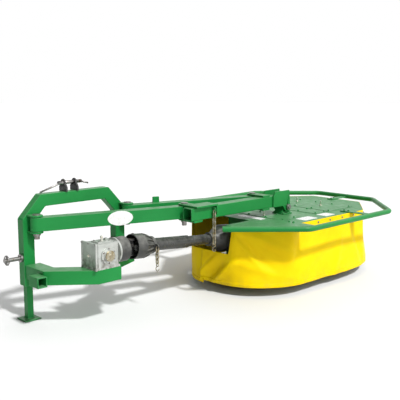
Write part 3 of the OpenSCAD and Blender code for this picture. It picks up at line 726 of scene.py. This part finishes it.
def bolt_piece(name, body, groups, slot="bare_steel"):
    def build(bm):
        for places, axis, size in groups:
            add_bolts(bm, places, axis, size)
    add_piece(name, mesh_from(name, build), body, slot, smooth=False)


# Plates and labels, thin and blank, with a raised rim: its shares of the outline and of the thickness
PLATE_RIM = ((1.0, 0.0), (1.0, 0.6), (0.985, 1.0), (0.955, 1.0), (0.945, 0.7))
OVAL_SIDES = 72
CORNER_STEPS = 6


def plate_mesh(name, outline, thick, place):
    """A plate of the given outline, laid at place with its face along place's Z."""
    def build(bm):
        rings = []
        for share, level in PLATE_RIM:
            points = [Vector((x * share, y * share, thick * level)) for x, y in outline]
            rings.append([bm.verts.new(place @ point) for point in points])
        join_rings(bm, rings)
        cap_rings(bm, rings)
    return mesh_from(name, build)


def oval(width, height):
    return [(width / 2 * c, height / 2 * s) for c, s in circle(OVAL_SIDES)]


def rounded_box(width, height, radius):
    points = []
    for turn, sx, sy in ((0, 1, 1), (1, -1, 1), (2, -1, -1), (3, 1, -1)):
        for k in range(CORNER_STEPS + 1):
            a = math.pi / 2 * (turn + k / CORNER_STEPS)
            points.append((sx * (width / 2 - radius) + radius * math.cos(a),
                           sy * (height / 2 - radius) + radius * math.sin(a)))
    return points


# Left post's centre line on the ground, from which places on the headstock and the arms are given
mast_lo, mast_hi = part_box("mast_frame")
MAST_TOP = mast_hi.z
POST_W = 0.080
POST = Vector((mast_lo.x + POST_W / 2, middle(mast_lo.y, mast_hi.y), 0))

# Oval plate on the stay arm's rear face: arm's direction, half width and pin, then plate's place and size
ARM_ANGLE = math.radians(-17)
ARM_HALF = 0.042
ARM_PIN = POST + Vector((0.030, -0.085, 0))
OVAL_RUN = 0.560
OVAL_W = 0.182
OVAL_H = 0.100
OVAL_T = 0.0025


def build_oval_plate():
    arm_lo, arm_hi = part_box("stay_arm")
    along = Vector((math.cos(ARM_ANGLE), math.sin(ARM_ANGLE), 0))
    out = Vector((math.sin(ARM_ANGLE), -math.cos(ARM_ANGLE), 0))
    spot = ARM_PIN + along * OVAL_RUN + out * ARM_HALF + Z * middle(arm_lo.z, arm_hi.z)
    place = Matrix.Translation(spot) @ Matrix((along, Z, out)).transposed().to_4x4()
    mesh = plate_mesh("oval_plate", oval(OVAL_W, OVAL_H), OVAL_T, place)
    add_piece("oval_plate", mesh, "stay_arm", None, label_film, smooth=False)


# Labels on the deck: centre in the deck's frame, then size
LABELS = ((-0.467, -0.105, 0.070, 0.240), (-0.190, -0.435, 0.165, 0.096), (0.068, -0.435, 0.130, 0.096))
LABEL_CORNER = 0.010
LABEL_T = 0.0012


def build_deck_labels():
    for index, (x, y, width, height) in enumerate(LABELS):
        name = f"deck_label_{index}"
        place = Matrix.Translation(on_deck(x, y, DECK_TOP))
        mesh = plate_mesh(name, rounded_box(width, height, LABEL_CORNER), LABEL_T, place)
        add_piece(name, mesh, "mower", None, label_film, smooth=False)


# Bolts on the deck: the covers' spans sideways, their bolts, the hinge bracket's, and the guard stays'
COVER_SPANS = ((-0.400, -0.215), (0.025, 0.190), (0.210, 0.560))
COVER_INSET = 0.022
COVER_ROWS = 5
COVER_BOLT = 0.008
BASE_T = 0.008
BASE_INSET = 0.014
BASE_BOLT = 0.010
STAY_LEFT = 0.435
STAY_RIGHT = 0.307
STAY_INSETS = (0.066, 0.026)


def grid_places(lo, hi, inset, nx, ny, z):
    """Places along the rim of a box."""
    xs = [lo.x + inset + (hi.x - lo.x - 2 * inset) * k / (nx - 1) for k in range(nx)]
    ys = [lo.y + inset + (hi.y - lo.y - 2 * inset) * k / (ny - 1) for k in range(ny)]
    return [Vector((x, y, z)) for x in xs for y in ys if x in (xs[0], xs[-1]) or y in (ys[0], ys[-1])]


def build_deck_bolts():
    groups = []
    cover_lo, cover_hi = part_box("deck_covers")
    for low, high in COVER_SPANS:
        lo = Vector((DECK.x + low, cover_lo.y, 0))
        hi = Vector((DECK.x + high, cover_hi.y, 0))
        groups.append((grid_places(lo, hi, COVER_INSET, 2, COVER_ROWS, cover_hi.z), Z, COVER_BOLT))
    base_lo, base_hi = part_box("hinge_bracket")
    base_top = DECK_TOP + BASE_T
    groups.append((grid_places(base_lo, base_hi, BASE_INSET, 2, 2, base_top), Z, BASE_BOLT))
    stays = []
    for x in (-STAY_LEFT, STAY_RIGHT):
        for side in (-1, 1):
            for inset in STAY_INSETS:
                stays.append(on_deck(x, side * (HALF_Y - inset), base_top))
    for inset in STAY_INSETS:
        stays.append(on_deck(HALF_X - inset, 0, base_top))
    groups.append((stays, Z, BASE_BOLT))
    bolt_piece("deck_bolts", "mower", groups, "green_paint")


# Bolts along the skirt's upper edge: size, spacing, height, and the edge's drop from which the notch counts
SKIRT_BOLT = 0.0075
SKIRT_BOLT_STEP = 0.165
SKIRT_BOLT_Z = DECK_TOP - 0.022
NOTCH_START = 0.001


def build_skirt_bolts():
    """Heads with wide washers where the skirt is clamped to the bars behind it, apart from the notch."""
    places, normals = skirt_strip()
    groups = []
    due = SKIRT_BOLT_STEP / 2
    for run, place, n in zip(strip_lengths(places)[1:], places[1:], normals):
        if run < due:
            continue
        due += SKIRT_BOLT_STEP
        if skirt_top(place) < SKIRT_TOP - NOTCH_START:
            continue
        spot = place + n * (STAND_OFF + billow(run, SKIRT_BOLT_Z))
        groups.append(([on_deck(spot.x, spot.y, SKIRT_BOLT_Z)], (n.x, n.y, 0), SKIRT_BOLT))
    bolt_piece("skirt_bolts", "mower", groups)


# Bolts of the gearbox: on its end plate's rim, round the rear boss and on the lid
GEAR_MID = POST + Vector((0.3075, -0.408, 0.467))
GEAR_TOP = 0.555
GEAR_BOLT = 0.0055
END_PLATE_RIM = 0.007
BOSS_STEP = 0.008
BOSS_RING = 0.048
BOSS_BOLTS = 6
LID_X = 0.040
LID_Y = 0.028


def build_gearbox_bolts():
    plate_lo, plate_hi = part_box("gearbox_end_plate")
    case_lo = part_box("gearbox_housing")[0]
    ends = []
    for y in (plate_lo.y + END_PLATE_RIM, middle(plate_lo.y, plate_hi.y), plate_hi.y - END_PLATE_RIM):
        for z in (plate_lo.z + END_PLATE_RIM, plate_hi.z - END_PLATE_RIM):
            ends.append(Vector((plate_lo.x, y, z)))
    boss = Vector((GEAR_MID.x, case_lo.y + BOSS_STEP, GEAR_MID.z))
    angles = [math.pi * (2 * k + 1) / BOSS_BOLTS for k in range(BOSS_BOLTS)]
    ring = [boss + (X * math.cos(a) + Z * math.sin(a)) * BOSS_RING for a in angles]
    lid_middle = Vector((GEAR_MID.x, GEAR_MID.y, GEAR_TOP))
    lid = [lid_middle + X * x + Y * y for x in (-LID_X, LID_X) for y in (-LID_Y, LID_Y)]
    groups = [(ends, -X, GEAR_BOLT), (ring, -Y, GEAR_BOLT), (lid, Z, GEAR_BOLT)]
    bolt_piece("gearbox_bolts", "headstock", groups)


# Round bars along a path: pins, rods, rings
ROD_SIDES = 12
RING_STEPS = 32


def rod_mesh(name, paths, radius, sides=ROD_SIDES):
    """Bars of one radius along several paths, each a list of points and whether it closes."""
    def build(bm):
        for path, closed in paths:
            rings = []
            count = len(path)
            for k, p in enumerate(path):
                before = path[k - 1] if closed or k else p
                after = path[(k + 1) % count] if closed or k < count - 1 else p
                turn = (after - before).to_track_quat("Z", "Y").to_matrix()
                points = [p + turn @ Vector((radius * c, radius * s, 0)) for c, s in circle(sides)]
                rings.append([bm.verts.new(point) for point in points])
            if closed:
                join_rings(bm, rings + rings[:1])
            else:
                join_rings(bm, rings)
                cap_rings(bm, rings)
    return mesh_from(name, build)


def ring_path(centre, radius, u, v, count=RING_STEPS):
    return [centre + (u * c + v * s) * radius for c, s in circle(count)]


def arc_path(centre, radius, u, v, start, sweep, count):
    angles = [start + sweep * k / count for k in range(count + 1)]
    return [centre + (u * math.cos(a) + v * math.sin(a)) * radius for a in angles]


# Linchpins: inset from the lower pins' ends, reach up and down, ring, bar
LINCH_INSET = 0.018
LINCH_UP = 0.034
LINCH_DOWN = 0.030
LINCH_RING = 0.030
LINCH_R = 0.0045
# Top link's pin: hole above the mast, reach past the lugs to each side, and radius
TOP_HOLE_UP = 0.060
TOP_PIN_LEFT = 0.035
TOP_PIN_RIGHT = 0.050
TOP_PIN_R = 0.0125
TOP_PIN_SIDES = 24
# Its handle at the right end, from a point near that end, and the retaining rod down to the mast at the left
HANDLE_R = 0.006
HANDLE_INSET = 0.012
HANDLE = ((0, 0, 0), (0, -0.020, 0), (0.008, -0.036, -0.004), (0.040, -0.044, -0.012))
ROD_START = (0.010, 0, 0)
ROD_BEND = (-0.010, 0, -0.012)
ROD_FOOT_X = 0.112
ROD_FOOT_UP = 0.008


def build_hitch_pins():
    """Linchpins through the lower pins, and the top link's pin with its handle."""
    pins_lo, pins_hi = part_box("lower_hitch_pins")
    paths = []
    for x in (pins_lo.x + LINCH_INSET, pins_hi.x - LINCH_INSET):
        eye = Vector((x, middle(pins_lo.y, pins_hi.y), middle(pins_lo.z, pins_hi.z)))
        paths.append(([eye + Z * LINCH_UP, eye - Z * LINCH_DOWN], False))
        paths.append((ring_path(eye, LINCH_RING, Z, Y), True))
    add_piece("linchpins", rod_mesh("linchpins", paths, LINCH_R), "headstock", "bare_steel")
    lugs_lo, lugs_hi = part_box("top_link_lugs")
    hole_y = middle(lugs_lo.y, lugs_hi.y)
    hole_z = MAST_TOP + TOP_HOLE_UP
    left = Vector((lugs_lo.x - TOP_PIN_LEFT, hole_y, hole_z))
    right = Vector((lugs_hi.x + TOP_PIN_RIGHT, hole_y, hole_z))
    pin = rod_mesh("top_pin", [([left, right], False)], TOP_PIN_R, TOP_PIN_SIDES)
    add_piece("top_pin", pin, "headstock", "bare_steel")
    handle = [right - X * HANDLE_INSET + Vector(offset) for offset in HANDLE]
    foot = POST + Vector((ROD_FOOT_X, 0, MAST_TOP + ROD_FOOT_UP))
    rod = [left + Vector(ROD_START), left + Vector(ROD_BEND), foot]
    bars = rod_mesh("top_pin_handle", [(handle, False), (rod, False)], HANDLE_R)
    add_piece("top_pin_handle", bars, "headstock", "bare_steel")


# Open hooks in the last link of each chain: piece, chain, body, then the hook's eye, bow and bar
HOOKS = (("carrier_hook", "carrier_chain", "carrier"), ("cone_hook", "cone_chain", "shaft_outer"))
HOOK_EYE_DROP = 0.004
HOOK_EYE_R = 0.011
HOOK_DROP = 0.033
HOOK_R = 0.015
HOOK_START = 0.3
HOOK_SWEEP = 4.6
HOOK_BAR = 0.0032
HOOK_STEPS = 24
HOOK_SIDES = 10


def build_chain_hooks():
    for name, chain, body in HOOKS:
        lo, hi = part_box(chain)
        end = Vector((middle(lo.x, hi.x), middle(lo.y, hi.y), lo.z))
        eye = ring_path(end - Z * HOOK_EYE_DROP, HOOK_EYE_R, Z, Y, HOOK_STEPS)
        bow = arc_path(end - Z * HOOK_DROP, HOOK_R, Z, Y, HOOK_START, HOOK_SWEEP, HOOK_STEPS)
        mesh = rod_mesh(name, [(eye, True), (bow, False)], HOOK_BAR, HOOK_SIDES)
        add_piece(name, mesh, body, "chain_steel")


# Turned pieces on the gearbox, and the nut on the right lower pin inside its post: pairs of radius and height
CAP_PROFILE = ((0.034, 0.0), (0.036, 0.001), (0.036, 0.006), (0.034, 0.008), (0.014, 0.009), (0.012, 0.011))
CAP_SIDES = 40
BREATHER_PROFILE = ((0.011, 0.0), (0.011, 0.006), (0.007, 0.008), (0.007, 0.016), (0.010, 0.018),
                    (0.010, 0.027), (0.006, 0.031))
NUT_PROFILE = ((0.036, 0.0), (0.036, 0.006), (0.030, 0.006), (0.030, 0.030), (0.026, 0.034),
               (0.015, 0.034), (0.015, 0.056), (0.012, 0.059))
TURNED_SIDES = 24
LEVEL_PLUG = 0.009


def turned_piece(name, profile, place, axis, sides, body, slot, material=None):
    """A closed round piece that stands on place along axis."""
    turn = Z.rotation_difference(axis).to_matrix()

    def build(bm):
        rings = []
        for radius, height in profile:
            points = [place + turn @ Vector((radius * c, radius * s, height)) for c, s in circle(sides)]
            rings.append([bm.verts.new(point) for point in points])
        join_rings(bm, rings)
        cap_rings(bm, rings)

    add_piece(name, mesh_from(name, build), body, slot, material, smooth=False)


def build_gearbox_plugs():
    boss = Vector((GEAR_MID.x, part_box("gearbox_housing")[0].y, GEAR_MID.z))
    turned_piece("gearbox_cap", CAP_PROFILE, boss, -Y, CAP_SIDES, "headstock", "chain_steel")
    lid = Vector((GEAR_MID.x, GEAR_MID.y, GEAR_TOP))
    turned_piece("gearbox_breather", BREATHER_PROFILE, lid, Z, TURNED_SIDES, "headstock", "chain_steel",
                 new_zinc)
    plate_lo, plate_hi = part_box("gearbox_end_plate")
    level = Vector((plate_lo.x, middle(plate_lo.y, plate_hi.y), middle(plate_lo.z, plate_hi.z)))
    plug = mesh_from("gearbox_level_plug", lambda bm: add_bolts(bm, [level], -X, LEVEL_PLUG))
    add_piece("gearbox_level_plug", plug, "headstock", "chain_steel", new_zinc, smooth=False)


def build_pin_nut():
    pins_lo, pins_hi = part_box("lower_hitch_pins")
    inner = Vector((mast_hi.x - POST_W, middle(pins_lo.y, pins_hi.y), middle(pins_lo.z, pins_hi.z)))
    turned_piece("pin_nut", NUT_PROFILE, inner, -X, TURNED_SIDES, "headstock", "black_paint")


# Ribs on the taper of the shaft's cone: count, half width at foot and at crest, rounding
RIB_COUNT = 14
RIB_FOOT = 0.0060
RIB_CREST = 0.0035
RIB_EDGE = 0.0012
# Line of a rib: distance from the joint along the shaft, foot's and crest's radius
RIB_LINE = (
    (0.066, 0.0835, 0.0865),
    (0.080, 0.0780, 0.0875),
    (0.110, 0.0660, 0.0800),
    (0.135, 0.0560, 0.0700),
    (0.149, 0.0520, 0.0610),
)


def build_cone_ribs():
    joints = {row["name"]: row for row in record["behaviour"]["joints"]}
    start = Vector(joints["shaft_pitch"]["pos_m"])
    along = Vector(joints["shaft_slide"]["axis"]).normalized()
    up = along.cross(Y)

    def build(bm):
        for c, s in circle(RIB_COUNT):
            out = up * c + Y * s
            side = along.cross(out)
            rings = []
            for run, foot, crest in RIB_LINE:
                corners = ((-RIB_FOOT, foot), (-RIB_CREST, crest), (RIB_CREST, crest), (RIB_FOOT, foot))
                rings.append([bm.verts.new(start + along * run + side * w + out * r) for w, r in corners])
            join_rings(bm, rings)
            cap_rings(bm, rings)

    ribs = add_piece("cone_ribs", mesh_from("cone_ribs", build), "shaft_outer", "black_plastic", smooth=False)
    round_edges(ribs, RIB_EDGE, EDGE_SEGMENTS)


# Studs that stand on the deck's sheets: places, nut, and the threaded rod's radius, tip, height and sides
STUDS = ((0.435, 0.133), (0.399, -0.150), (-0.340, -0.125))
SHEET_T = 0.003
STUD_NUT = 0.011
STUD_R = 0.006
STUD_TIP = 0.0055
STUD_H = 0.042
STUD_SIDES = 16


def build_studs():
    def build(bm):
        for x, y in STUDS:
            spot = on_deck(x, y, DECK_TOP + SHEET_T)
            add_bolts(bm, [spot], Z, STUD_NUT)
            bmesh.ops.create_cone(bm, cap_ends=True, segments=STUD_SIDES, radius1=STUD_R, radius2=STUD_TIP,
                                  depth=STUD_H, matrix=Matrix.Translation(spot + Z * STUD_H / 2))
    add_piece("deck_studs", mesh_from("deck_studs", build), "mower", "chain_steel", new_zinc, smooth=False)


# Stage: floor, a sky that is darker to the left, two suns and the camera
FLOOR_HALF = 200
FLOOR_PALE = (0.78, 0.78, 0.78)
FLOOR_DULL = (0.76, 0.76, 0.76)
FLOOR_ROUGH = 0.8
SKY_LEFT = 0.08
SKY_RIGHT = 1.0
SKY_TURN = 0.3
# Suns: name, energy, direction and angle
SUNS = (("key", 3.05, (0.05, 0.63, -0.77), 5), ("fill", 1.3, (0.10, 0.96, -0.25), 80))
CAMERA_PLACE = Vector((-3.653, -3.437, 1.458))
CAMERA_AIM = Vector((-0.442, -0.170, 0.749))
CAMERA_LENS = 58.66
CAMERA_SENSOR = 36
CAMERA_ROLL = math.radians(0.2)


def aimed(direction):
    return Vector(direction).to_track_quat("-Z", "Y")


def build_floor():
    def build(bm):
        bmesh.ops.create_grid(bm, x_segments=2, y_segments=2, size=FLOOR_HALF)

    mesh = mesh_from("floor", build)
    pale = Finish("pale_floor", FLOOR_PALE, FLOOR_ROUGH)
    pale.colour(pale.mix(pale.noise(scale=0.7, detail=2), FLOOR_PALE, FLOOR_DULL))
    mesh.materials.append(pale.material)
    add_to_scene("floor", mesh)


def build_light():
    world = bpy.data.worlds.new("studio")
    bpy.context.scene.world = world
    world.use_nodes = True
    tree = world.node_tree
    sky = tree.nodes["Background"]
    sky.inputs["Color"].default_value = (1, 1, 1, 1)
    toward = tree.nodes.new("ShaderNodeSeparateXYZ")
    tree.links.new(tree.nodes.new("ShaderNodeTexCoord").outputs["Generated"], toward.inputs["Vector"])
    shade = tree.nodes.new("ShaderNodeMapRange")
    shade.inputs["From Min"].default_value = -SKY_TURN
    shade.inputs["From Max"].default_value = SKY_TURN
    shade.inputs["To Min"].default_value = SKY_LEFT
    shade.inputs["To Max"].default_value = SKY_RIGHT
    tree.links.new(toward.outputs["X"], shade.inputs["Value"])
    tree.links.new(shade.outputs["Result"], sky.inputs["Strength"])
    for name, energy, direction, angle in SUNS:
        sun = bpy.data.lights.new(name, "SUN")
        sun.energy = energy
        sun.angle = math.radians(angle)
        add_to_scene(name, sun).rotation_euler = aimed(direction).to_euler()


def build_camera():
    lens = bpy.data.cameras.new("camera")
    lens.lens = CAMERA_LENS
    lens.sensor_width = CAMERA_SENSOR
    camera = add_to_scene("camera", lens)
    camera.location = CAMERA_PLACE
    turn = aimed(CAMERA_AIM - CAMERA_PLACE).to_matrix() @ Matrix.Rotation(CAMERA_ROLL, 3, "Z")
    camera.rotation_euler = turn.to_euler()
    bpy.context.scene.camera = camera


build_skirt()
build_oval_plate()
build_deck_labels()
build_deck_bolts()
build_skirt_bolts()
build_gearbox_bolts()
build_hitch_pins()
build_chain_hooks()
build_gearbox_plugs()
build_pin_nut()
build_cone_ribs()
build_studs()
build_floor()
build_light()
build_camera()
bpy.context.scene.view_settings.view_transform = "Standard"
